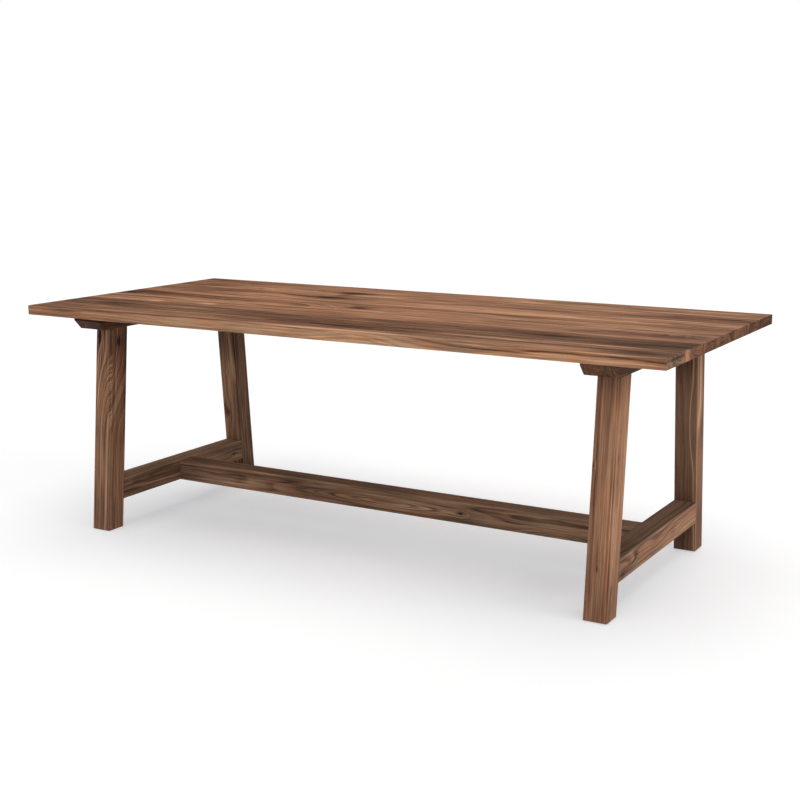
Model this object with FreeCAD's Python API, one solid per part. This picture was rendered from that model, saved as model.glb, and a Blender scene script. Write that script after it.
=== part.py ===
import FreeCAD, Part
import math
import os

from FreeCAD import Vector

# A solid walnut table on two trestles, in millimetres. X runs along the top, Y across it from
# front to back, and Z up. The origin is on the floor under the middle of the top.
top_length = 2200.0
top_width = 1000.0
top_thickness = 31.0
table_height = 765.0
top_edge_round = 2.0

# The boards of the top, from the front to the back, as shares of its width.
board_width_shares = [0.140, 0.148, 0.139, 0.157, 0.122, 0.148, 0.146]

# The trestles. Their legs lean outwards to the front and the back, and stand upright in X.
trestle_inset = 205.0
frame_edge_round = 1.5

bearer_length = 894.0
bearer_width = 105.0
bearer_height = 45.0
bearer_end_chamfer = 30.0

leg_thickness = 71.0
leg_width = 71.0
leg_top_inset = 88.0
leg_lean_degrees = 5.0

stretcher_floor_clearance = 98.0
stretcher_height = 71.0
long_stretcher_width = 71.0

# Glued mortise and tenon joints: the film of glue round a tenon and the space past its end.
glue_gap = 0.1
mortise_end_gap = 2.0
tenon_corner_round = 6.0

leg_tenon_thickness = 30.0
leg_tenon_width = 46.0
leg_tenon_length = 30.0

stretcher_tenon_thickness = 26.0
stretcher_tenon_height = 46.0
stretcher_tenon_length = 34.0

# Bolts that hold the top down on the bearers. Their slots run across the boards, so the top can
# swell and shrink. The inner bolt of each half stands at this share of the way to the leg.
bolt_diameter = 8.0
bolt_head_diameter = 14.0
bolt_head_height = 4.4
bolt_head_round = 2.8
bolt_socket_width = 5.0
bolt_socket_depth = 2.6
bolt_tip_chamfer = 1.0
bolt_engagement = 14.0
inner_bolt_share = 0.5

washer_diameter = 24.0
washer_thickness = 2.0
washer_hole_gap = 0.2

bolt_counterbore_depth = 20.0
bolt_counterbore_gap = 1.0
bolt_slot_gap = 0.5
bolt_slot_travel = 8.0

insert_diameter = 12.0
insert_length = 16.0
insert_recess = 0.5
insert_hole_relief = 2.0
thread_gap = 0.05

# Each end of the long stretcher is drawn up to its cross stretcher by a hanger bolt. The nut
# is reached through a round pocket in the underside and bears on a crescent washer.
hanger_bolt_diameter = 8.0
hanger_screw_depth = 42.0
hanger_point_length = 6.0
hanger_hole_gap = 0.5
hanger_end_past_nut = 3.0

pocket_diameter = 36.0
pocket_setback = 50.0
pocket_headroom = 13.0

crescent_thickness = 6.0
crescent_height = 20.0

nut_width = 13.0
nut_height = 6.5

dowel_diameter = 10.0
dowel_length = 48.0
dowel_spacing = 46.0
dowel_chamfer = 1.2
dowel_end_gap = 1.0

# A glide under each leg, let into its foot and held by a countersunk screw.
glide_diameter = 32.0
glide_thickness = 5.0
glide_stand_off = 2.0
glide_edge_round = 1.0
glide_recess_gap = 0.3

glide_screw_diameter = 4.0
glide_screw_length = 25.0
glide_screw_point = 4.0
glide_screw_head_diameter = 8.0
glide_screw_head_recess = 0.8
screw_slot_width = 0.9
screw_slot_depth = 1.2

# Cutting tools run past the faces that they open by this much.
overrun = 5.0

half_turn = 180.0
hexagon_sides = 6

across = Vector(0, 1, 0)
along = Vector(1, 0, 0)
up = Vector(0, 0, 1)


def lean():
    return math.tan(math.radians(leg_lean_degrees))


# Places that several pieces share, worked out from the sizes above.
top_underside = table_height - top_thickness
bearer_underside = top_underside - bearer_height
trestle_x = top_length / 2 - trestle_inset
leg_span = leg_width / math.cos(math.radians(leg_lean_degrees))
stretcher_middle = stretcher_floor_clearance + stretcher_height / 2
stretcher_top = stretcher_floor_clearance + stretcher_height
long_stretcher_end = trestle_x - leg_thickness / 2


def leg_outer_y(height):
    """How far the outer face of a leg is from the middle of the trestle, at a height."""
    return bearer_length / 2 - leg_top_inset + (bearer_underside - height) * lean()


def leg_inner_y(height):
    return leg_outer_y(height) - leg_span


def leg_middle_y(height):
    return leg_outer_y(height) - leg_span / 2


# Plain solids that the pieces are cut from.
def block(low, high):
    """A box from its lowest corner to its highest."""
    size = high - low
    return Part.makeBox(size.x, size.y, size.z, low)


def centred_block(centre, length, width, height):
    half_size = Vector(length / 2, width / 2, height / 2)
    return block(centre - half_size, centre + half_size)


def rod(diameter, start, direction, length):
    return Part.makeCylinder(diameter / 2, length, start, direction)


def slot(diameter, travel, start, height):
    """An upright slot: two half rounds and the straight stretch between them, along Y."""
    reach = Vector(0, travel / 2, 0)
    ends = [rod(diameter, start + offset, up, height) for offset in (reach, -reach)]
    low = start - Vector(diameter / 2, travel / 2, 0)
    middle = block(low, low + Vector(diameter, travel, height))
    return middle.fuse(ends).removeSplitter()


def hexagon(width, start, direction, height):
    """A hexagonal bar of this width over its flats, upright before it is turned."""
    corner_radius = width / 2 / math.cos(math.radians(half_turn / hexagon_sides))
    step = math.radians(2 * half_turn / hexagon_sides)
    corners = [
        Vector(corner_radius * math.cos(step * turn), corner_radius * math.sin(step * turn), 0)
        for turn in range(hexagon_sides + 1)
    ]
    bar = Part.Face(Part.makePolygon(corners)).extrude(up * height)
    bar.Placement = FreeCAD.Placement(start, FreeCAD.Rotation(up, direction))
    return bar


def prism_along_x(outline, length):
    """A solid of this outline in Y and Z, with its length centred on X."""
    points = [Vector(-length / 2, y, z) for y, z in outline]
    face = Part.Face(Part.makePolygon(points + points[:1]))
    return face.extrude(along * length)


def direction_of(edge):
    return (edge.lastVertex().Point - edge.firstVertex().Point).normalize()


def is_parallel(edge, direction):
    return direction_of(edge).cross(direction).Length < math.sin(math.radians(leg_lean_degrees) / 2)


def eased(solid, radius, edges):
    return solid.makeFillet(radius, edges)


def moved(shape, offset):
    copy = shape.copy()
    copy.translate(offset)
    return copy


def turned(shape):
    """The same shape at the other end of the table, half a turn about the upright axis."""
    copy = shape.copy()
    copy.rotate(Vector(), up, half_turn)
    return copy


# The top: one rounded slab, sawn into its boards and drilled for the inserts.
def board_edges():
    """The Y of each board's front edge, and of the last one's back edge."""
    total_share = sum(board_width_shares)
    edges = [-top_width / 2]
    for share in board_width_shares:
        edges.append(edges[-1] + top_width * share / total_share)
    return edges


def bolt_rows():
    """The Y of each bolt of a bearer: two between the legs and one in each overhang."""
    leg_outer = leg_outer_y(bearer_underside)
    overhang_end = bearer_length / 2 - bearer_end_chamfer
    outer = (leg_outer + overhang_end) / 2
    inner = leg_inner_y(bearer_underside) * inner_bolt_share
    return [-outer, -inner, inner, outer]


def bolt_places():
    return [Vector(x, y, 0) for x in (-trestle_x, trestle_x) for y in bolt_rows()]


def top_slab():
    low = Vector(-top_length / 2, -top_width / 2, top_underside)
    slab = block(low, Vector(-low.x, -low.y, table_height))
    return eased(slab, top_edge_round, slab.Edges)


def insert_holes():
    depth = insert_recess + insert_length + insert_hole_relief
    diameter = insert_diameter + 2 * thread_gap
    start = Vector(0, 0, top_underside - overrun)
    return [rod(diameter, place + start, up, overrun + depth) for place in bolt_places()]


def top_boards():
    drilled = top_slab().cut(insert_holes())
    edges = board_edges()
    boards = []
    for front, back in zip(edges[:-1], edges[1:]):
        low = Vector(-top_length / 2 - overrun, front, top_underside - overrun)
        high = Vector(top_length / 2 + overrun, back, table_height + overrun)
        boards.append(drilled.common(block(low, high)))
    return boards


# A bearer: a bar under the top, chamfered at its ends, with a mortise over each leg.
def leg_tenon(gap, end_gap):
    """The tenon on top of the back leg, or its mortise when gaps are given."""
    thickness = leg_tenon_thickness + 2 * gap
    width = leg_tenon_width + 2 * gap
    height = overrun + leg_tenon_length + end_gap
    centre_z = bearer_underside - overrun + height / 2
    centre = Vector(0, leg_middle_y(bearer_underside), centre_z)
    tenon = centred_block(centre, thickness, width, height)
    corners = [edge for edge in tenon.Edges if is_parallel(edge, up)]
    return eased(tenon, tenon_corner_round + gap, corners)


def bolt_slots():
    """The slot of each bolt of one bearer, and the wider one above it for its washer."""
    slots = []
    narrow = bolt_diameter + 2 * bolt_slot_gap
    wide = washer_diameter + 2 * bolt_counterbore_gap
    mouth = bearer_underside - overrun
    for y in bolt_rows():
        start = Vector(0, y, mouth)
        slots.append(slot(narrow, bolt_slot_travel, start, bearer_height + 2 * overrun))
        slots.append(slot(wide, bolt_slot_travel, start, overrun + bolt_counterbore_depth))
    return slots


def bearer():
    half = bearer_length / 2
    outline = [
        (half, top_underside),
        (half, bearer_underside + bearer_end_chamfer),
        (half - bearer_end_chamfer, bearer_underside),
        (bearer_end_chamfer - half, bearer_underside),
        (-half, bearer_underside + bearer_end_chamfer),
        (-half, top_underside),
    ]
    bar = prism_along_x(outline, bearer_width)
    edges = [edge for edge in bar.Edges if edge.CenterOfMass.z < top_underside - frame_edge_round]
    bar = eased(bar, frame_edge_round, edges)
    mortise = leg_tenon(glue_gap, mortise_end_gap)
    return bar.cut([mortise, turned(mortise)] + bolt_slots())


# A leg: cut level at the top and the foot, with a tenon above and a mortise for the stretcher.
def leg():
    heights = (glide_stand_off, bearer_underside)
    outer = [(leg_outer_y(height), height) for height in heights]
    inner = [(leg_inner_y(height), height) for height in reversed(heights)]
    post = prism_along_x(outer + inner, leg_thickness)
    at_top = [edge for edge in post.Edges if edge.CenterOfMass.z > bearer_underside - overrun]
    edges = [edge for edge in post.Edges if not any(edge.isSame(other) for other in at_top)]
    post = eased(post, frame_edge_round, edges)
    post = post.fuse(leg_tenon(0, 0)).removeSplitter()
    return post.cut([stretcher_tenon(glue_gap, mortise_end_gap)] + glide_recess())


def glide_recess():
    """The shallow round let into the foot, and the pilot hole of the screw above it."""
    foot = Vector(0, leg_middle_y(glide_stand_off), glide_stand_off - overrun)
    recess_depth = glide_thickness - glide_stand_off
    round_hole = rod(glide_diameter + 2 * glide_recess_gap, foot, up, overrun + recess_depth)
    pilot_depth = glide_screw_head_recess + glide_screw_length + mortise_end_gap
    pilot_start = Vector(foot.x, foot.y, 0)
    pilot = rod(glide_screw_diameter + 2 * thread_gap, pilot_start, up, pilot_depth)
    return [round_hole, pilot]


# A cross stretcher: it butts on the leaning faces of its two legs and is tenoned into them.
def stretcher_tenon(gap, end_gap):
    """The tenon that runs into the back leg, or its mortise when gaps are given."""
    shoulder = leg_inner_y(stretcher_top)
    end = leg_inner_y(stretcher_middle) + stretcher_tenon_length + end_gap
    start = shoulder - overrun
    centre = Vector(0, (start + end) / 2, stretcher_middle)
    thickness = stretcher_tenon_thickness + 2 * gap
    tenon = centred_block(centre, thickness, end - start, stretcher_tenon_height + 2 * gap)
    corners = [edge for edge in tenon.Edges if is_parallel(edge, across)]
    return eased(tenon, tenon_corner_round + gap, corners)


def cross_stretcher():
    low_y = leg_inner_y(stretcher_floor_clearance)
    high_y = leg_inner_y(stretcher_top)
    outline = [
        (low_y, stretcher_floor_clearance),
        (high_y, stretcher_top),
        (-high_y, stretcher_top),
        (-low_y, stretcher_floor_clearance),
    ]
    bar = prism_along_x(outline, leg_thickness)
    bar = eased(bar, frame_edge_round, [edge for edge in bar.Edges if is_parallel(edge, across)])
    tenon = stretcher_tenon(0, 0)
    bar = bar.fuse([tenon, turned(tenon)]).removeSplitter()
    return moved(bar, Vector(trestle_x, 0, 0)).cut(stretcher_end_holes())


# The joint between the long stretcher and a cross stretcher, at the +X end of the table.
def stretcher_joint_centre():
    return Vector(long_stretcher_end, 0, stretcher_middle)


def dowel_centres():
    reach = Vector(0, dowel_spacing / 2, 0)
    return [stretcher_joint_centre() + offset for offset in (-reach, reach)]


def dowel(centre, gap, end_gap):
    """A locating dowel along X, or the hole for it when gaps are given."""
    half_length = dowel_length / 2 + end_gap
    peg = rod(dowel_diameter + 2 * gap, centre - along * half_length, along, 2 * half_length)
    if gap:
        return peg
    rims = [edge for edge in peg.Edges if edge.isClosed()]
    return peg.makeChamfer(dowel_chamfer, rims)


def stretcher_end_holes():
    """What is bored at one end: the dowel holes and the pilot hole of the hanger bolt."""
    holes = [dowel(centre, thread_gap, dowel_end_gap) for centre in dowel_centres()]
    centre = stretcher_joint_centre()
    pilot_diameter = hanger_bolt_diameter + 2 * thread_gap
    pilot_depth = overrun + hanger_screw_depth + mortise_end_gap
    return holes + [rod(pilot_diameter, centre - along * overrun, along, pilot_depth)]


def pocket_centre():
    return stretcher_joint_centre() - along * pocket_setback


def pocket():
    base = pocket_centre()
    base.z = stretcher_floor_clearance - overrun
    height = overrun + stretcher_height / 2 + pocket_headroom
    return rod(pocket_diameter, base, up, height)


def hanger_clearance_hole():
    diameter = hanger_bolt_diameter + 2 * hanger_hole_gap
    return rod(diameter, pocket_centre(), along, pocket_setback + overrun)


def long_stretcher():
    half = long_stretcher_end
    low = Vector(-half, -long_stretcher_width / 2, stretcher_floor_clearance)
    bar = block(low, Vector(half, long_stretcher_width / 2, stretcher_top))
    bar = eased(bar, frame_edge_round, [edge for edge in bar.Edges if is_parallel(edge, along)])
    holes = [dowel(centre, thread_gap, dowel_end_gap) for centre in dowel_centres()]
    holes = holes + [pocket(), hanger_clearance_hole()]
    return bar.cut(holes + [turned(hole) for hole in holes])


def crescent_face():
    """The middle of the washer's flat face, where the nut bears."""
    wall = pocket_centre() + along * (pocket_diameter / 2)
    return wall - along * crescent_thickness


def crescent_washer():
    """A piece of the pocket's own round, with a flat for the nut."""
    face = crescent_face()
    base = pocket_centre() - up * (crescent_height / 2)
    body = rod(pocket_diameter - 2 * thread_gap, base, up, crescent_height)
    low = Vector(face.x, -pocket_diameter / 2, base.z)
    high = Vector(face.x + pocket_diameter, pocket_diameter / 2, base.z + crescent_height)
    hole_diameter = hanger_bolt_diameter + 2 * hanger_hole_gap
    hole = rod(hole_diameter, pocket_centre(), along, pocket_diameter)
    return body.common(block(low, high)).cut(hole)


def hanger_nut():
    corner_chamfer = (nut_width / math.cos(math.radians(half_turn / hexagon_sides)) - nut_width) / 2
    nut = hexagon(nut_width, crescent_face(), -along, nut_height)
    blank_diameter = nut_width + 2 * corner_chamfer
    blank = rod(blank_diameter, crescent_face(), -along, nut_height)
    rims = [edge for edge in blank.Edges if edge.isClosed()]
    nut = nut.common(blank.makeChamfer(corner_chamfer, rims))
    bore = rod(hanger_bolt_diameter + 2 * thread_gap, crescent_face(), -along, nut_height)
    return nut.cut(bore)


def hanger_bolt():
    """A stud with a pointed wood screw end in the cross stretcher."""
    centre = stretcher_joint_centre()
    end = crescent_face() - along * (nut_height + hanger_end_past_nut)
    shoulder = centre + along * (hanger_screw_depth - hanger_point_length)
    shank = rod(hanger_bolt_diameter, end, along, shoulder.x - end.x)
    rim = [edge for edge in shank.Edges if edge.isClosed() and edge.CenterOfMass.x < centre.x]
    shank = shank.makeChamfer(bolt_tip_chamfer, rim)
    point = Part.makeCone(
        hanger_bolt_diameter / 2, bolt_tip_chamfer, hanger_point_length, shoulder, along
    )
    return shank.fuse(point).removeSplitter()


def both_ends(shapes):
    return shapes + [turned(shape) for shape in shapes]


# What holds the top down: a bolt, its washer and its insert at each bolt place.
def counterbore_floor():
    return bearer_underside + bolt_counterbore_depth


def top_bolt(place):
    seat = place + up * (counterbore_floor() - washer_thickness)
    tip = top_underside + bolt_engagement
    shank = rod(bolt_diameter, seat, up, tip - seat.z)
    rim = [edge for edge in shank.Edges if edge.isClosed() and edge.CenterOfMass.z > seat.z]
    shank = shank.makeChamfer(bolt_tip_chamfer, rim[:1])
    head = rod(bolt_head_diameter, seat, -up, bolt_head_height)
    rim = [edge for edge in head.Edges if edge.isClosed() and edge.CenterOfMass.z < seat.z]
    head = eased(head, bolt_head_round, rim[:1])
    socket_start = seat - up * bolt_head_height
    socket = hexagon(bolt_socket_width, socket_start, up, bolt_socket_depth)
    return shank.fuse(head).removeSplitter().cut(socket)


def ring(outer_diameter, inner_diameter, start, height):
    outer = rod(outer_diameter, start, up, height)
    return outer.cut(rod(inner_diameter, start, up, height))


def top_washer(place):
    start = place + up * (counterbore_floor() - washer_thickness)
    return ring(washer_diameter, bolt_diameter + 2 * washer_hole_gap, start, washer_thickness)


def top_insert(place):
    start = place + up * (top_underside + insert_recess)
    return ring(insert_diameter, bolt_diameter + 2 * thread_gap, start, insert_length)


# What is under each foot.
def foot_places():
    y = leg_middle_y(glide_stand_off)
    return [Vector(x, side * y, 0) for x in (-trestle_x, trestle_x) for side in (-1, 1)]


def screw_head_cone(place, gap):
    """The countersunk head, or its seat in the glide when a gap is given."""
    head_height = (glide_screw_head_diameter - glide_screw_diameter) / 2
    start = place + up * glide_screw_head_recess
    wide = glide_screw_head_diameter / 2 + gap
    narrow = glide_screw_diameter / 2 + gap
    return Part.makeCone(wide, narrow, head_height, start, up)


def foot_glide(place):
    disc = rod(glide_diameter, place, up, glide_thickness)
    rim = [edge for edge in disc.Edges if edge.isClosed() and edge.CenterOfMass.z < glide_stand_off]
    disc = eased(disc, glide_edge_round, rim)
    mouth_diameter = glide_screw_head_diameter + 2 * thread_gap
    mouth = rod(mouth_diameter, place, up, glide_screw_head_recess)
    hole = rod(glide_screw_diameter + 2 * thread_gap, place, up, glide_thickness)
    return disc.cut([mouth, screw_head_cone(place, thread_gap), hole])


def glide_screw(place):
    head = screw_head_cone(place, 0)
    shank_length = glide_screw_length - glide_screw_point
    start = place + up * glide_screw_head_recess
    shank = rod(glide_screw_diameter, start, up, shank_length)
    point_start = start + up * shank_length
    point = Part.makeCone(glide_screw_diameter / 2, 0, glide_screw_point, point_start, up)
    screw = shank.fuse([head, point]).removeSplitter()
    recess = start + up * (screw_slot_depth / 2)
    arm = glide_screw_diameter
    slots = [
        centred_block(recess, arm, screw_slot_width, screw_slot_depth),
        centred_block(recess, screw_slot_width, arm, screw_slot_depth),
    ]
    return screw.cut(slots)


# Each piece goes to a file of its own. Like fasteners share one, as separate solids.
def save(name, shape):
    shape.exportStep("parts/" + name + ".step")


def save_group(name, shapes):
    save(name, Part.makeCompound(shapes))


os.makedirs("parts", exist_ok=True)

for number, board in enumerate(top_boards(), start=1):
    save("top_board_" + str(number), board)

trestle_place = Vector(trestle_x, 0, 0)
right_bearer = moved(bearer(), trestle_place)
back_leg = leg()
right_back_leg = moved(back_leg, trestle_place)
right_front_leg = moved(turned(back_leg), trestle_place)
right_cross_stretcher = cross_stretcher()

save("right_bearer", right_bearer)
save("left_bearer", turned(right_bearer))
save("right_back_leg", right_back_leg)
save("left_front_leg", turned(right_back_leg))
save("right_front_leg", right_front_leg)
save("left_back_leg", turned(right_front_leg))
save("right_cross_stretcher", right_cross_stretcher)
save("left_cross_stretcher", turned(right_cross_stretcher))
save("long_stretcher", long_stretcher())

save_group("hanger_bolts", both_ends([hanger_bolt()]))
save_group("crescent_washers", both_ends([crescent_washer()]))
save_group("hanger_nuts", both_ends([hanger_nut()]))
save_group("locating_dowels", both_ends([dowel(centre, 0, 0) for centre in dowel_centres()]))

save_group("top_bolts", [top_bolt(place) for place in bolt_places()])
save_group("top_washers", [top_washer(place) for place in bolt_places()])
save_group("top_inserts", [top_insert(place) for place in bolt_places()])

save_group("foot_glides", [foot_glide(place) for place in foot_places()])
save_group("glide_screws", [glide_screw(place) for place in foot_places()])
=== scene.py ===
import bpy
import math
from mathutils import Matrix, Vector


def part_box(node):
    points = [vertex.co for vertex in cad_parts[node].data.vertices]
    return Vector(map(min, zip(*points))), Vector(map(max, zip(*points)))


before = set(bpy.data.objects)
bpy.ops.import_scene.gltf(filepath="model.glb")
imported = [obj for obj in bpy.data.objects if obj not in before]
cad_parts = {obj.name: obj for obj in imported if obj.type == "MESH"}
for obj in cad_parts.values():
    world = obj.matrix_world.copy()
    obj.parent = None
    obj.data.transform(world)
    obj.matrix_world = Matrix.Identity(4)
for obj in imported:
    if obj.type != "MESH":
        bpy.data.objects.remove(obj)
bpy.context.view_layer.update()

# The top: seven planks of walnut, each sawn full length from its own log, glued edge to edge,
# planed flush and finished with a satin oil. Their grain runs along X.


class Signal:
    """One output in a node tree. Arithmetic on it adds Math nodes."""

    def __init__(self, nodes, socket):
        self.nodes = nodes
        self.socket = socket

    def maths(self, operation, *others):
        return self.nodes.node("ShaderNodeMath", [self, *others], operation=operation)

    def __add__(self, other):
        return self.maths("ADD", other)

    def __mul__(self, other):
        return self.maths("MULTIPLY", other)

    def __sub__(self, other):
        return self.maths("SUBTRACT", other)

    def __rsub__(self, other):
        return self.nodes.node("ShaderNodeMath", [other, self], operation="SUBTRACT")

    __radd__ = __add__
    __rmul__ = __mul__

    def along(self, direction):
        """How far a vector reaches in a direction."""
        inputs = [self, direction]
        return self.nodes.node("ShaderNodeVectorMath", inputs, "Value", operation="DOT_PRODUCT")

    def between(self, low, high):
        """Rises smoothly from 0 at low to 1 at high."""
        inputs = {"Value": self, "From Min": low, "From Max": high}
        return self.nodes.node("ShaderNodeMapRange", inputs, interpolation_type="SMOOTHSTEP")


class Nodes:
    """The nodes of a material or a world, added one by one."""

    def __init__(self, tree):
        self.tree = tree
        self.tree.nodes.clear()

    def node(self, kind, inputs=(), output=0, stops=(), **settings):
        """Adds a node from its settings, a ramp's stops, and its sockets' values or links."""
        made = self.tree.nodes.new(kind)
        for name, value in settings.items():
            setattr(made, name, value)
        for number, (position, shade) in enumerate(stops):
            if number >= len(made.color_ramp.elements):
                made.color_ramp.elements.new(position)
            made.color_ramp.elements[number].position = position
            made.color_ramp.elements[number].color = shade
        pairs = inputs.items() if isinstance(inputs, dict) else enumerate(inputs)
        for key, value in pairs:
            if isinstance(value, Signal):
                self.tree.links.new(value.socket, made.inputs[key])
            else:
                made.inputs[key].default_value = value
        return Signal(self, made.outputs[output]) if made.outputs else None


class Finish(Nodes):
    """A material, for one piece or for all the pieces that share it."""

    def __init__(self, name):
        self.material = bpy.data.materials.new(name)
        self.material.use_nodes = True
        super().__init__(self.material.node_tree)

    def vector(self, x, y, z):
        return self.node("ShaderNodeCombineXYZ", [x, y, z])

    def noise(self, place, detail=2.0, roughness=0.5):
        """Noise about 0, over a place in space or over one value."""
        on_a_line = place.socket.type == "VALUE"
        inputs = {"W" if on_a_line else "Vector": place, "Scale": 1.0}
        inputs.update({"Detail": detail, "Roughness": roughness})
        dimensions = "1D" if on_a_line else "3D"
        return self.node("ShaderNodeTexNoise", inputs, noise_dimensions=dimensions) - 0.5

    def grain(self, scale, detail):
        """Noise through the solid, from how often it changes in a metre, one way or each way."""
        scale = scale if isinstance(scale, tuple) else (scale, scale, scale)
        place = self.node("ShaderNodeTexCoord", output="Object")
        scaled = self.node("ShaderNodeVectorMath", [place, scale], operation="MULTIPLY")
        return self.noise(scaled, detail)

    def ramp(self, value, stops):
        return self.node("ShaderNodeValToRGB", [value], stops=stops)

    def mix(self, factor, first, second, blend="MIX"):
        inputs = {0: factor, 6: first, 7: second}
        return self.node("ShaderNodeMix", inputs, 2, data_type="RGBA", blend_type=blend)

    def shade(self, **inputs):
        """The shader that shows, from Principled BSDF inputs with _ for their spaces."""
        named = {name.replace("_", " "): value for name, value in inputs.items()}
        self.node("ShaderNodeOutputMaterial", [self.node("ShaderNodeBsdfPrincipled", named)])

    def put_on(self, piece):
        for slot in piece.material_slots:
            slot.material = self.material


def colour(red, green, blue):
    """A colour as it looks on a screen, from 0 to 255, in the renderer's own scale."""
    return (*[((part / 255 + 0.055) / 1.055) ** 2.4 for part in (red, green, blue)], 1.0)


def grey(level):
    return (level, level, level, 1.0)


class Walnut(Finish):
    """Walnut sawn from a log, whose rings run right through the piece to its end grain.

    The piece has three directions of its own: along the grain, across it and the depth, which
    is square to both. Places on it are in metres from its middle.
    """

    shades = (
        (0.00, colour(46, 30, 21)),
        (0.25, colour(102, 71, 54)),
        (0.50, colour(150, 109, 83)),
        (0.75, colour(191, 143, 110)),
        (1.00, colour(226, 178, 141)),
    )
    sapwood_shades = (
        (0.0, colour(114, 81, 62)),
        (0.5, colour(175, 131, 100)),
        (1.0, colour(226, 180, 140)),
    )
    # What the wood's colour is multiplied by where it is coolest, and where it is reddest.
    cool_tint = (0.86, 1.03, 1.14, 1.0)
    warm_tint = (1.14, 0.97, 0.86, 1.0)
    # How dark a ring is, from where it starts to its late wood.
    ring_shades = (
        (0.00, grey(0.50)),
        (0.10, grey(0.00)),
        (0.50, grey(0.20)),
        (0.86, grey(1.00)),
        (1.00, grey(0.50)),
    )
    ring_width = 0.0065
    # How far the painted light and shade of a face reach into the wood.
    painted_light_reach = 0.005

    def __init__(self, node, grain, across, pith, tone, seed):
        super().__init__("walnut_" + node)
        self.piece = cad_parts[node]
        self.seed = seed
        self.draws = 0
        self.lengthwise = Vector(grain)
        crosswise = Vector(across)
        low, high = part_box(node)
        self.half_width = (high - low).dot(crosswise) / 2
        place = self.node("ShaderNodeTexCoord", output="Object")
        inputs = [place, (low + high) / 2]
        from_middle = self.node("ShaderNodeVectorMath", inputs, operation="SUBTRACT")
        self.length = from_middle.along(self.lengthwise)
        self.width = from_middle.along(crosswise)
        self.depth = from_middle.along(self.lengthwise.cross(crosswise))
        self.place = self.vector(self.length, self.width, self.depth)
        self.radius = self.from_pith(*pith)
        self.tone = tone + self.figure(0.9, 9.0) * 0.28 + self.figure(9.0, 20.0) * 0.12
        self.pale = 0.0
        self.hues = self.figure(1.3, 16.0) * 0.9 + self.figure(9.0, 60.0, 2.0, 0.7) * 1.5
        self.redness = 0.0
        self.calm = 0.0
        self.bend = 0.0

    def figure(self, along, across, detail=2.0, roughness=0.5):
        """Noise drawn out along the grain, from how often it changes in a metre each way."""
        self.draws += 1
        shift = self.seed * 7.3 + self.draws * 31.7
        inputs = [self.place, (along, across, across), (shift, 0.0, 0.0)]
        drawn = self.node("ShaderNodeVectorMath", inputs, operation="MULTIPLY_ADD")
        return self.noise(drawn, detail, roughness)

    def from_pith(self, across, deep):
        """How far a point is from the middle of the log, which wanders as a tree grows."""
        x = self.width - across + self.figure(0.9, 3.0) * 0.030
        y = self.depth - deep + self.figure(0.9, 3.0) * 0.030
        ripple = self.figure(4.0, 18.0) * 0.008 + self.figure(12.0, 50.0) * 0.002
        return (x * x + y * y).maths("SQRT") + ripple

    def spot(self, place, reach, deep=False):
        """1 at a place along and across the face, or along and into it, fading to its reach."""
        middle = (place[0], 0.0, place[1]) if deep else (place[0], place[1], 0.0)
        scale = (1 / reach[0], 0.0, 1 / reach[1]) if deep else (1 / reach[0], 1 / reach[1], 0.0)
        shift = [-part * size for part, size in zip(middle, scale)]
        inputs = [self.place, scale, shift]
        off = self.node("ShaderNodeVectorMath", inputs, operation="MULTIPLY_ADD")
        return (off.along(off) * -1.0).maths("EXPONENT")

    def swirl(self, place, reach, rise, deep=False):
        """Rings that bow round a place, as they do over a bulge in the trunk."""
        self.radius = self.radius + self.spot(place, reach, deep) * rise

    def arch(self, start, end, middle, half_width, rise):
        """Pointed arches, one inside the other, whose tips lie between two lengths."""
        away = (self.width - middle) * (1 / half_width)
        bow = (away * away * -1.0).maths("EXPONENT")
        self.radius = self.radius + self.length.between(start, end) * bow * rise

    def cloud(self, place, reach, change, deep=False):
        """A stretch where the wood is lighter, or darker where change is below 0."""
        self.tone = self.tone + self.spot(place, reach, deep) * change

    def blush(self, place, reach, change):
        """A stretch where the wood is redder, or greyer where change is below 0."""
        self.redness = self.redness + self.spot(place, reach) * change

    def knot(self, place, size, dark, deep=False):
        """A branch that ran through the board, with the fibres flowing round it."""
        around = self.spot(place, (size * 5.0, size * 2.2), deep)
        self.radius = self.radius + around * (size * 1.2)
        self.bend = self.bend + around * (self.width - place[1]) * (0.0 if deep else 0.8)
        self.cloud(place, (size * 2.4, size * 1.1), -dark * 0.8, deep)
        self.cloud(place, (size * 0.9, size * 0.4), -dark * 0.5, deep)

    def taper(self, amount):
        """The trunk narrows along its grain by this share of its length."""
        self.radius = self.radius + self.length * amount

    def vein(self, start, thickness, change):
        """A thin line that follows one ring, lighter or darker than the wood beside it."""
        off = (self.radius - start) * (1 / thickness)
        self.tone = self.tone + (off * off * -1.0).maths("EXPONENT") * change

    def sapwood(self, start, edge=0.004):
        """The pale wood under the bark starts at this distance from the pith."""
        self.pale = (self.radius - start).between(0.0, edge)
        self.vein(start, thickness=0.003, change=-0.15)

    def face(self, change, off=None, warm=0.0, calm=0.0):
        """Painted light and shade at a face: the wood there is drawn lighter where the face is
        lit and darker where it is shaded, and redder, greyer or plainer, from how far a point is
        off it.

        The face that ends the piece's width is meant, unless another is given.
        """
        off = (off or self.width - self.half_width) * (1 / self.painted_light_reach)
        near = (off * off * -1.0).maths("EXPONENT")
        self.tone = self.tone + near * change
        self.redness = self.redness + near * warm
        self.calm = self.calm + near * calm

    def oil(
        self, rings=0.24, bands=0.16, streaks=0.40, flecks=0.22, lines=1.0, hues=1.2, warm=0.0,
        ends=0.24
    ):
        """Adds the rings, the fibres and the pores, and lays the satin oil on them."""
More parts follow.
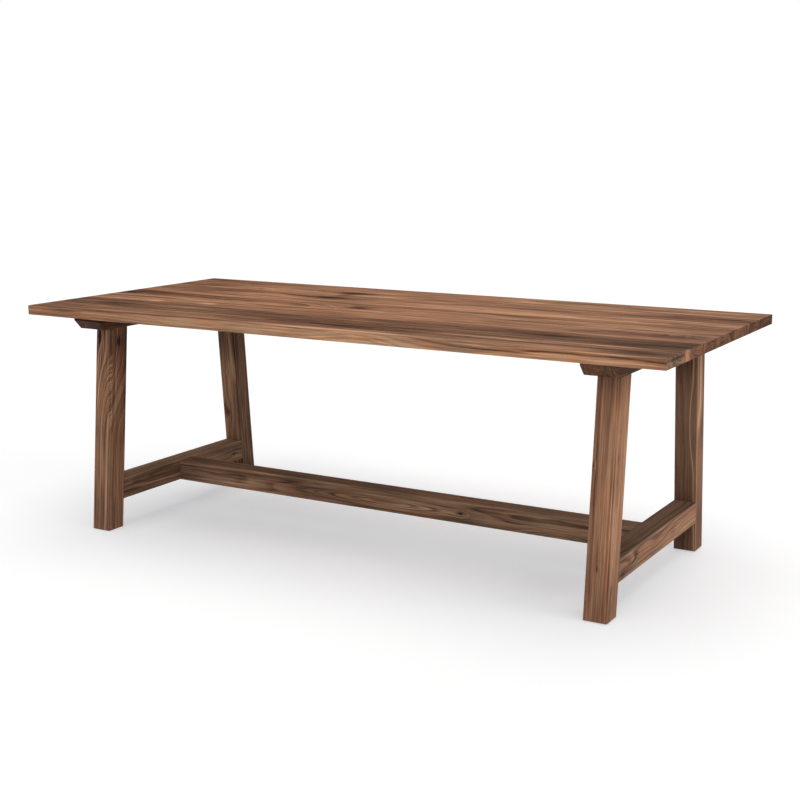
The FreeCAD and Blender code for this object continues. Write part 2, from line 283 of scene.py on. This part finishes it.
        # The rings, of uneven width and strength, and broad bands of tone that follow them.
        count = self.radius * (1 / self.ring_width)
        uneven = count + self.noise(count * 0.45 + self.seed) * 2.2
        ring = self.ramp(uneven.maths("FRACT"), self.ring_shades)
        strength = self.noise(count * 0.31 + (self.seed + 50), 1.0) * 2.4 + 0.75
        broad = self.noise(self.radius * 34.0 + (self.seed + 90), 3.0, 0.6)
        # The streaks follow the rings round knots, as the fibres do.
        flow = self.vector(
            self.length * 1.6 + self.seed * 5.1, self.radius * 70.0, self.depth * 14.0
        )
        streak = self.noise(flow, 5.0, 0.68)
        # The fibres, from broad flecks to fine threads. They flow round knots too.
        self.place = self.vector(self.length, self.width - self.bend, self.depth)
        fleck = self.figure(2.6, 56.0, 3.0, 0.68)
        line = self.figure(1.8, 110.0, 3.0, 0.70)
        thread = self.figure(6.0, 270.0, 2.0, 0.6)
        # On end grain the fibres are cut across and show less.
        facing = self.node("ShaderNodeTexCoord", output="Normal").along(self.lengthwise)
        end_grain = facing.maths("ABSOLUTE").between(0.55, 0.85)
        fibres = streak * streaks + fleck * flecks + line * (lines * 0.7) + thread * lines
        fibres = fibres * (1.0 - end_grain * 0.6) - ring * strength * rings
        tone = self.tone + broad * bands + fibres * (1.0 - self.calm) - end_grain * ends
        wood = self.ramp(tone, self.shades)
        if self.pale:
            wood = self.mix(self.pale, wood, self.ramp(tone, self.sapwood_shades))
        # warm makes the wood redder, or cooler below 0; on the pieces that stand in shade under
        # the top the cooler wood is a painted tint of that shade.
        redness = self.hues * hues + self.redness + end_grain * 0.12 + (0.5 + warm * 0.3)
        tint = self.mix(redness, self.cool_tint, self.warm_tint)
        wood = self.mix(1.0, wood, tint, "MULTIPLY")
        pores = self.figure(60.0, 1100.0, 1.0).between(0.10, 0.20)
        wood = self.mix(pores * 0.22, wood, colour(60, 40, 30))
        relief = thread * 0.5 - pores * 0.6 - ring * 0.25
        inputs = {"Strength": 0.25, "Distance": 0.0004, "Height": relief}
        self.shade(
            Base_Color=wood,
            Roughness=0.58 + thread * 0.10 + pores * 0.12 + end_grain * 0.12,
            Normal=self.node("ShaderNodeBump", inputs),
            Specular_IOR_Level=0.06,
        )
        self.put_on(self.piece)


along_x = (1.0, 0.0, 0.0)
along_y = (0.0, 1.0, 0.0)
upwards = (0.0, 0.0, 1.0)

# The figure of each piece is placed from its middle, along and across its grain, in metres. The
# boards are also drawn darker towards the ends of the top, and the legs carry painted shade at
# their tops and feet. The last number of a cloud is how much lighter the wood is there.
board = Walnut("top_board_1", along_x, along_y, pith=(0.040, 0.060), tone=0.60, seed=1)
board.taper(-0.0045)
board.swirl((0.17, -0.070), (0.18, 0.034), rise=0.017)
board.cloud((-1.05, 0.000), (0.14, 0.100), -0.12)
board.cloud((-0.475, 0.055), (0.11, 0.018), 0.20)
board.cloud((-0.02, 0.034), (0.38, 0.036), -0.19)
board.cloud((0.30, -0.020), (0.20, 0.010), -0.14)
board.cloud((1.02, 0.010), (0.16, 0.040), -0.16)
board.cloud((1.02, -0.022), (0.09, 0.016), -0.14)
board.cloud((0.95, -0.075), (0.25, 0.010), 0.17)
board.cloud((-0.85, -0.056), (0.45, 0.010), -0.20)
board.cloud((-0.95, 0.000), (0.24, 0.080), -0.08)
board.cloud((0.22, -0.040), (0.16, 0.014), 0.12)
board.cloud((0.10, -0.051), (0.24, 0.014), 0.30)
board.cloud((0.80, 0.010), (0.24, 0.050), -0.09)
board.cloud((1.05, 0.000), (0.10, 0.100), -0.08)
board.blush((1.10, 0.000), (0.003, 0.200), -0.6)
board.cloud((0.50, -0.0093), (0.09, 0.0030), -0.26, deep=True)
board.cloud((0.62, -0.0015), (0.09, 0.0030), -0.26, deep=True)
board.cloud((0.74, 0.0065), (0.10, 0.0030), -0.32, deep=True)
board.cloud((0.92, 0.0090), (0.12, 0.0030), -0.32, deep=True)
board.cloud((1.05, 0.0060), (0.10, 0.0030), -0.22, deep=True)
board.cloud((0.90, -0.0050), (0.24, 0.0060), 0.16, deep=True)
board.cloud((-0.25, 0.0085), (0.60, 0.0050), 0.09, deep=True)
board.cloud((-0.30, -0.0110), (0.60, 0.0060), -0.14, deep=True)
board.cloud((-1.00, -0.0060), (0.12, 0.0080), -0.14, deep=True)
# Painted light: the front edge is drawn a little lighter, where it faces the light.
board.face(0.02, board.width + board.half_width)
board.sapwood(start=0.122)
board.oil(rings=0.28, bands=0.40, streaks=0.60, flecks=1.05, lines=1.0, hues=1.1, ends=-0.04)

board = Walnut("top_board_2", along_x, along_y, pith=(0.050, 0.090), tone=0.39, seed=2)
board.taper(0.012)
board.cloud((-0.90, -0.020), (0.07, 0.020), -0.12)
board.cloud((-0.68, 0.000), (0.12, 0.060), 0.08)
board.cloud((-0.25, 0.022), (0.12, 0.025), -0.08)
board.cloud((0.40, 0.000), (0.14, 0.060), 0.08)
board.cloud((0.70, 0.010), (0.08, 0.025), -0.16)
board.cloud((1.02, 0.000), (0.18, 0.080), -0.17)
board.cloud((0.90, -0.070), (0.20, 0.006), -0.25)
board.cloud((1.10, -0.050), (0.004, 0.022), 0.30)
board.sapwood(start=0.170)
board.oil(streaks=0.50, flecks=1.05, lines=0.9, hues=1.1, warm=0.2, ends=-0.18)


def oil_lively(board, ends, warm=0.4):
    """Oils one of the boards whose figure is lively and whose tone is even."""
    board.oil(bands=0.40, streaks=0.60, flecks=1.15, lines=0.95, hues=1.1, warm=warm, ends=ends)


board = Walnut("top_board_3", along_x, along_y, pith=(0.030, -0.060), tone=0.59, seed=3)
board.taper(0.02)
board.cloud((-0.72, 0.062), (0.42, 0.008), 0.30)
board.cloud((-0.820, -0.040), (0.028, 0.010), 0.50)
board.cloud((-0.605, -0.028), (0.032, 0.012), 0.50)
board.cloud((-0.75, -0.050), (0.35, 0.012), 0.12)
board.cloud((-0.15, 0.000), (0.12, 0.070), -0.08)
board.cloud((0.22, 0.000), (0.26, 0.070), 0.20)
board.cloud((-0.70, 0.000), (0.30, 0.070), -0.06)
board.cloud((0.75, 0.030), (0.20, 0.040), -0.10)
board.cloud((0.80, -0.045), (0.30, 0.014), 0.18)
board.cloud((1.05, 0.010), (0.10, 0.060), -0.14)
board.knot((0.70, -0.010), 0.006, dark=0.3)
board.knot((1.07, 0.040), 0.014, dark=0.2)
oil_lively(board, ends=0.15)

board = Walnut("top_board_4", along_x, along_y, pith=(-0.040, -0.100), tone=0.60, seed=4)
board.taper(0.015)
board.cloud((0.27, 0.041), (0.24, 0.005), -0.28)
board.cloud((-0.75, -0.012), (0.42, 0.034), -0.22)
board.cloud((-1.05, 0.000), (0.18, 0.080), -0.25)
board.cloud((1.05, 0.000), (0.14, 0.080), -0.10)
board.knot((-0.117, -0.020), 0.024, dark=0.56)
oil_lively(board, ends=0.21)

board = Walnut("top_board_5", along_x, along_y, pith=(-0.020, -0.080), tone=0.58, seed=5)
board.taper(-0.02)
board.knot((-0.358, 0.036), 0.026, dark=0.34)
board.cloud((-0.42, 0.000), (0.16, 0.060), -0.08)
board.cloud((0.50, -0.035), (0.48, 0.032), 0.24)
board.cloud((0.05, 0.000), (0.24, 0.060), 0.08)
board.cloud((-1.00, 0.000), (0.20, 0.080), -0.14)
oil_lively(board, ends=0.21)

board = Walnut("top_board_6", along_x, along_y, pith=(0.020, -0.070), tone=0.59, seed=6)
board.taper(0.02)
board.cloud((-0.20, 0.000), (0.36, 0.070), 0.15)
board.knot((-0.715, 0.005), 0.009, dark=0.3)
board.knot((-0.36, 0.050), 0.018, dark=0.28)
board.knot((-0.28, 0.044), 0.012, dark=0.34)
board.cloud((-0.340, -0.010), (0.030, 0.050), -0.22)
board.cloud((-1.00, 0.000), (0.16, 0.080), -0.12)
board.cloud((1.05, 0.000), (0.16, 0.080), -0.18)
board.cloud((0.80, -0.066), (0.35, 0.007), -0.25)
oil_lively(board, ends=0.12)

board = Walnut("top_board_7", along_x, along_y, pith=(0.010, -0.110), tone=0.62, seed=7)
board.taper(-0.015)
board.cloud((-0.95, 0.010), (0.22, 0.030), -0.16)
board.cloud((0.32, -0.031), (0.07, 0.013), 0.36)
board.cloud((0.75, 0.000), (0.25, 0.050), 0.08)
board.cloud((0.85, 0.017), (0.25, 0.008), 0.12)
board.cloud((0.85, -0.059), (0.25, 0.006), 0.12)
oil_lively(board, ends=0.42, warm=0.3)

# The two bearers under the top: bars of walnut, sawn to length and chamfered at their ends. The
# legs are tenoned into them, and the top is bolted to them through slots.
# The left bearer's end is drawn darker than the right's (ends): painted shade, under the top's
# overhang.
for side, tone, ends, seed in (("left", 0.24, 0.26, 11), ("right", 0.23, -0.04, 12)):
    bearer = Walnut(side + "_bearer", along_y, upwards, pith=(0.0, -0.30), tone=tone, seed=seed)
    low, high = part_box(side + "_bearer")
    # Painted shade: the +X side of each bearer is drawn a little darker and redder.
    bearer.face(-0.03, bearer.depth - (high - low).x / 2, warm=0.8)
    bearer.oil(rings=0.10, bands=0.10, streaks=0.30, ends=ends)

# The four legs: square posts of walnut that lean outwards, each sawn along its own grain. A tenon
# at the top of each is glued into the bearer, and each stands on a glide.
lean = math.radians(5.0)
outwards = (0.0, math.sin(lean), math.cos(lean))
inwards = (0.0, -math.sin(lean), math.cos(lean))

leg = Walnut("left_front_leg", outwards, along_x, pith=(0.036, 0.090), tone=0.36, seed=21)
leg.arch(start=0.250, end=-0.060, middle=0.036, half_width=0.045, rise=-0.110)
# Painted shade: the top of the leg is drawn darker, under the bearer and the top.
leg.cloud((0.300, 0.000), (0.080, 0.080), -0.23)
leg.knot((0.295, -0.024), 0.007, dark=0.55)
leg.cloud((0.270, -0.005), (0.035, 0.004), 0.30)
leg.cloud((0.115, -0.022), (0.070, 0.006), 0.22)
leg.cloud((-0.040, 0.000), (0.050, 0.060), -0.08)
leg.cloud((-0.220, 0.019), (0.080, 0.005), 0.14)
leg.cloud((-0.250, -0.028), (0.120, 0.005), -0.14)
# Painted shade: the foot of the leg is drawn darker, near the floor.
leg.cloud((-0.300, 0.000), (0.080, 0.080), -0.09)
leg.knot((0.281, -0.005), 0.007, dark=0.50, deep=True)
leg.cloud((0.150, 0.034), (0.250, 0.007), -0.25, deep=True)
leg.cloud((0.150, -0.014), (0.100, 0.005), 0.18, deep=True)
leg.cloud((0.120, 0.004), (0.055, 0.018), 0.09, deep=True)
# Painted shade: the +X side, which stands under the top, is drawn darker, and the wood is drawn
# cooler as a painted tint of that shade.
leg.face(-0.04)
leg.oil(rings=-0.42, streaks=0.26, lines=0.7, warm=-0.7)

leg = Walnut("left_back_leg", inwards, along_x, pith=(0.030, 0.070), tone=0.61, seed=22)
# Painted shade: the top of the leg is drawn darker, under the bearer and the top.
leg.cloud((0.250, 0.000), (0.090, 0.060), -0.14)
leg.cloud((0.190, -0.030), (0.080, 0.010), -0.32)
leg.knot((0.076, -0.005), 0.003, dark=0.2)
leg.cloud((0.076, -0.008), (0.050, 0.020), 0.08)
leg.knot((-0.080, -0.014), 0.009, dark=0.35)
leg.cloud((-0.055, -0.026), (0.026, 0.008), -0.24)
# Painted shade: the foot of the leg is drawn darker, near the floor.
leg.cloud((-0.320, 0.000), (0.050, 0.050), -0.28)
# Painted shade: the +X side, which stands under the top, is drawn darker.
leg.face(-0.18)
leg.cloud((0.100, 0.012), (0.120, 0.006), 0.14, deep=True)
# Painted shade: the wood is drawn cooler, a tint of the shade the leg stands in.
leg.oil(streaks=0.45, flecks=0.60, lines=0.8, warm=-1.1)

leg = Walnut("right_front_leg", outwards, along_x, pith=(-0.080, 0.040), tone=0.58, seed=23)
leg.cloud((0.000, -0.020), (0.300, 0.003), -0.16)
leg.cloud((0.200, -0.028), (0.100, 0.005), -0.12)
leg.knot((0.072, -0.032), 0.004, dark=0.2)
leg.cloud((0.050, 0.020), (0.250, 0.008), 0.08)
leg.cloud((0.000, 0.0267), (0.400, 0.0016), 0.20)
leg.cloud((-0.050, 0.0152), (0.350, 0.0014), 0.16)
leg.knot((-0.214, -0.002), 0.004, dark=0.25)
leg.cloud((-0.180, -0.004), (0.040, 0.002), -0.25)
leg.cloud((-0.260, 0.000), (0.080, 0.050), 0.04)
# Painted shade: the top of the leg is drawn darker, under the bearer and the top.
leg.cloud((0.340, 0.000), (0.080, 0.050), -0.28)
# Painted light: the +X side, lit from the right, is drawn lighter.
leg.face(0.10)
leg.cloud((0.097, -0.022), (0.018, 0.007), -0.25, deep=True)
leg.cloud((0.034, -0.022), (0.026, 0.006), -0.22, deep=True)
leg.cloud((-0.120, -0.015), (0.080, 0.008), 0.12, deep=True)
leg.swirl((-0.150, -0.010), (0.120, 0.015), rise=0.020, deep=True)
leg.cloud((0.100, 0.030), (0.300, 0.004), 0.10, deep=True)
# Painted shade: the foot of the leg is drawn darker, near the floor.
leg.cloud((-0.300, 0.000), (0.110, 0.060), -0.18, deep=True)
leg.oil(rings=0.14, bands=0.08, streaks=0.18, flecks=0.38, lines=0.75, hues=1.0, warm=0.2)

leg = Walnut("right_back_leg", inwards, along_x, pith=(-0.050, 0.090), tone=0.52, seed=24)
leg.swirl((0.070, 0.022), (0.100, 0.014), rise=0.012)
leg.vein(start=0.148, thickness=0.0014, change=0.40)
# Painted light: the +X side, lit from the right, is drawn lighter and redder.
leg.face(0.10, warm=0.35)
# Painted shade: the top of the leg is drawn darker, under the bearer and the top.
leg.cloud((0.300, 0.000), (0.090, 0.060), -0.26)
leg.cloud((0.230, -0.002), (0.090, 0.011), 0.50, deep=True)
leg.cloud((0.230, 0.030), (0.090, 0.008), -0.16, deep=True)
leg.cloud((0.120, -0.004), (0.045, 0.010), 0.44, deep=True)
leg.cloud((0.072, -0.018), (0.035, 0.009), 0.40, deep=True)
leg.cloud((0.060, 0.012), (0.060, 0.012), -0.22, deep=True)
leg.cloud((-0.200, 0.028), (0.120, 0.005), 0.12, deep=True)
leg.cloud((0.010, 0.000), (0.130, 0.080), -0.08, deep=True)
# Painted shade: the foot of the leg is drawn darker, near the floor.
leg.cloud((-0.280, 0.000), (0.160, 0.080), -0.26, deep=True)
# Painted shade: the wood is drawn cooler, a tint of the shade the leg stands in.
leg.oil(rings=0.08, bands=0.05, streaks=0.16, flecks=0.10, lines=0.32, warm=-1.2)

# The two cross stretchers: square rails of walnut, low down between the legs of each trestle. A
# tenon at either end of each is glued into a mortise in the leg.
rail = Walnut("left_cross_stretcher", along_y, upwards, pith=(0.02, -0.06), tone=0.46, seed=31)
rail.cloud((-0.160, -0.012), (0.120, 0.004), 0.10)
rail.cloud((-0.040, 0.000), (0.120, 0.040), 0.14)
rail.cloud((0.160, 0.000), (0.110, 0.018), 0.24)
rail.knot((0.287, -0.008), 0.005, dark=0.35)
rail.cloud((0.310, -0.018), (0.030, 0.006), 0.20)
rail.cloud((-0.300, 0.000), (0.100, 0.050), -0.06)
rail.cloud((0.100, 0.000), (0.080, 0.050), 0.10)
# Painted light: the top face is drawn lighter. The whole rail is drawn cooler, a painted tint of
# the shade under the table.
rail.face(0.29, warm=-0.5)
rail.oil(lines=0.7, warm=-2.0)

rail = Walnut("right_cross_stretcher", along_y, upwards, pith=(-0.09, -0.05), tone=0.68, seed=32)
rail.ring_width = 0.006
rail.arch(start=0.240, end=-0.060, middle=-0.006, half_width=0.030, rise=0.024)
rail.arch(start=-0.120, end=-0.300, middle=-0.010, half_width=0.030, rise=0.015)
rail.cloud((-0.280, 0.022), (0.050, 0.004), -0.20)
rail.cloud((-0.190, 0.016), (0.030, 0.010), 0.16)
rail.cloud((-0.020, 0.020), (0.050, 0.006), 0.14)
rail.cloud((0.120, -0.005), (0.020, 0.009), -0.18)
rail.cloud((-0.290, 0.000), (0.120, 0.060), -0.18)
rail.cloud((0.200, -0.005), (0.140, 0.026), 0.13)
rail.cloud((-0.310, -0.020), (0.020, 0.012), -0.22)
# Painted shade: the top face is drawn darker and cooler; its plainer grain is the wood's own.
rail.face(-0.18, warm=-1.4, calm=0.5)
rail.oil(rings=0.40, bands=0.06, streaks=0.16, flecks=0.50, lines=0.8, hues=1.7)

# The long stretcher: a square rail of walnut that joins the two trestles. It butts against the
# cross stretchers, and a hanger bolt at either end draws it tight.
rail = Walnut("long_stretcher", along_x, upwards, pith=(0.0, 0.08), tone=0.54, seed=41)
rail.swirl((-0.043, -0.003), (0.35, 0.018), rise=0.035)
rail.cloud((-0.030, -0.010), (0.30, 0.008), 0.16)
rail.cloud((-0.700, 0.000), (0.20, 0.020), 0.14)
rail.cloud((-0.800, 0.000), (0.06, 0.050), -0.10)
rail.cloud((-0.620, -0.016), (0.16, 0.016), 0.24)
rail.cloud((-0.450, 0.004), (0.12, 0.012), 0.06)
rail.cloud((-0.320, 0.000), (0.10, 0.030), -0.11)
rail.cloud((0.000, rail.half_width), (0.20, 0.006), -0.13)
rail.cloud((0.560, rail.half_width), (0.14, 0.006), -0.10)
rail.knot((0.280, -0.003), 0.006, dark=0.4)
rail.swirl((0.620, -0.034), (0.11, 0.024), rise=0.030)
rail.cloud((0.600, 0.000), (0.12, 0.030), 0.12)
rail.cloud((0.080, 0.000), (0.120, 0.030), 0.08)
rail.cloud((0.780, 0.000), (0.120, 0.050), -0.02)
# Painted light: the top face is drawn lighter. The whole rail is drawn cooler, a painted tint of
# the shade under the table.
rail.face(0.12, warm=-0.5)
rail.oil(rings=0.34, streaks=0.35, lines=0.75, warm=-1.3)

# The steel fasteners that hold the top, the long stretcher and the glides: bolts, washers, nuts
# and screws. They are plated with bright zinc, which has a fine, uneven crystal in it.
zinc = Finish("zinc_plate")
crystal = zinc.grain(900.0, 3.0)
zinc.shade(
    Base_Color=zinc.mix(crystal + 0.5, colour(168, 170, 172), colour(205, 206, 204)),
    Metallic=1.0,
    Roughness=0.32 + crystal * 0.2,
)
bolts_and_nuts = ("top_bolts", "hanger_bolts", "hanger_nuts")
washers_and_screws = ("top_washers", "crescent_washers", "glide_screws")
for name in bolts_and_nuts + washers_and_screws:
    zinc.put_on(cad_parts[name])

# The threaded inserts: turned brass, a little tarnished, let into the top from below. The top's
# bolts screw into them.
brass = Finish("turned_brass")
tarnish = brass.grain(300.0, 4.0)
brass.shade(
    Base_Color=brass.mix(tarnish * 1.6 + 0.5, colour(214, 176, 104), colour(166, 128, 70)),
    Metallic=1.0,
    Roughness=0.34 + tarnish * 0.3,
)
brass.put_on(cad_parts["top_inserts"])

# The locating dowels: bare beech, with its short brown flecks. Two at either end of the long
# stretcher keep it from turning. Their grain runs along X.
beech = Finish("bare_beech")
fleck = beech.grain((90.0, 900.0, 900.0), 2.0)
fibre = beech.grain((12.0, 500.0, 500.0), 3.0)
pale = beech.mix(fibre * 1.5 + 0.5, colour(196, 156, 116), colour(222, 190, 150))
beech.shade(
    Base_Color=beech.mix(fleck.between(0.08, 0.2) * 0.5, pale, colour(150, 104, 72)),
    Roughness=0.72 + fibre * 0.1,
)
beech.put_on(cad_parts["locating_dowels"])

# The glides under the feet: dark nylon with a fine moulded texture, a little scuffed. Each is
# screwed up into the foot of its leg.
nylon = Finish("moulded_nylon")
texture = nylon.grain(1400.0, 2.0)
scuffs = nylon.grain(60.0, 5.0)
nylon.shade(
    Base_Color=nylon.mix(scuffs * 1.5 + 0.4, colour(34, 34, 36), colour(58, 57, 58)),
    Roughness=0.55 + scuffs * 0.3,
    Normal=nylon.node("ShaderNodeBump", {"Strength": 0.3, "Distance": 0.0002, "Height": texture}),
)
nylon.put_on(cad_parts["foot_glides"])

# The floor is white, and keeps the table's soft shadow. It is drawn paler than it is, so that it
# meets the white background without an edge, and its shade is cooled to a plain grey.
floor_mesh = bpy.data.meshes.new("floor")
reach = 30.0
corners = [(-reach, -reach, 0.0), (reach, -reach, 0.0), (reach, reach, 0.0), (-reach, reach, 0.0)]
floor_mesh.from_pydata(corners, [], [(0, 1, 2, 3)])
floor = bpy.data.objects.new("floor", floor_mesh)
bpy.context.scene.collection.objects.link(floor)
paper = Finish("white_paper")
floor_mesh.materials.append(paper.material)
direct = paper.node("ShaderNodeLightPath", output="Is Camera Ray")
mirrored = paper.node("ShaderNodeLightPath", output="Is Glossy Ray")
through = paper.node("ShaderNodeLightPath", output="Is Transmission Ray")
as_it_is = paper.node("ShaderNodeBsdfDiffuse", [grey(0.88)])
shadow = paper.node("ShaderNodeBsdfDiffuse", [(0.69, 0.665, 0.64, 1.0)])
glow = paper.node("ShaderNodeEmission", [(0.95, 1.0, 1.05, 1.0), 0.45])
drawn = paper.node("ShaderNodeAddShader", [shadow, glow])
seen = (direct + mirrored + through).maths("MINIMUM", 1.0)
either = paper.node("ShaderNodeMixShader", [seen, as_it_is, drawn])
paper.node("ShaderNodeOutputMaterial", [either])

# Plain soft light of a white studio: a broad light overhead, paler walls round it, most of it
# from the front and the right.
world = bpy.data.worlds.new("studio")
bpy.context.scene.world = world
world.use_nodes = True
studio = Nodes(world.node_tree)
direct = studio.node("ShaderNodeLightPath", output="Is Camera Ray")
ambient = studio.node("ShaderNodeBackground", [grey(1.0), 0.04])
backdrop = studio.node("ShaderNodeBackground", [grey(1.0), 1.0])
shown = studio.node("ShaderNodeMixShader", [direct, ambient, backdrop])
studio.node("ShaderNodeOutputWorld", [shown])

for name, turn, height, spread, power in (
    ("overhead", 0.0, 90.0, 60.0, 1.62),
    ("front_wall", 0.0, 12.0, 20.0, 0.74),
    ("right_wall", 90.0, 20.0, 36.0, 0.84),
    ("front_right_fill", 45.0, 45.0, 40.0, 0.42),
    ("back_wall", 180.0, 35.0, 40.0, 0.40),
    ("left_wall", 250.0, 15.0, 30.0, 0.26),
):
    light = bpy.data.lights.new(name, "SUN")
    light.energy = power
    light.angle = math.radians(spread)
    lamp = bpy.data.objects.new(name, light)
    flat = math.cos(math.radians(height))
    towards = Vector((
        math.sin(math.radians(turn)) * flat,
        -math.cos(math.radians(turn)) * flat,
        math.sin(math.radians(height)),
    ))
    lamp.rotation_euler = towards.to_track_quat("Z", "Y").to_euler()
    bpy.context.scene.collection.objects.link(lamp)

# The camera stands to the right of the middle, a little above the top, and looks down on it. Its
# place, its lens and its turn were solved from the straight edges in the photo.
looks_down = 11.063
turned_left = 29.967
camera_data = bpy.data.cameras.new("camera")
camera_data.sensor_width = 36.0
camera_data.lens = 61.04
camera = bpy.data.objects.new("camera", camera_data)
camera.location = (2.2021, -3.7580, 1.3191)
camera.rotation_euler = (math.radians(90.0 - looks_down), 0.0, math.radians(turned_left))
bpy.context.scene.collection.objects.link(camera)
bpy.context.scene.camera = camera
bpy.context.scene.view_settings.view_transform = "Standard"
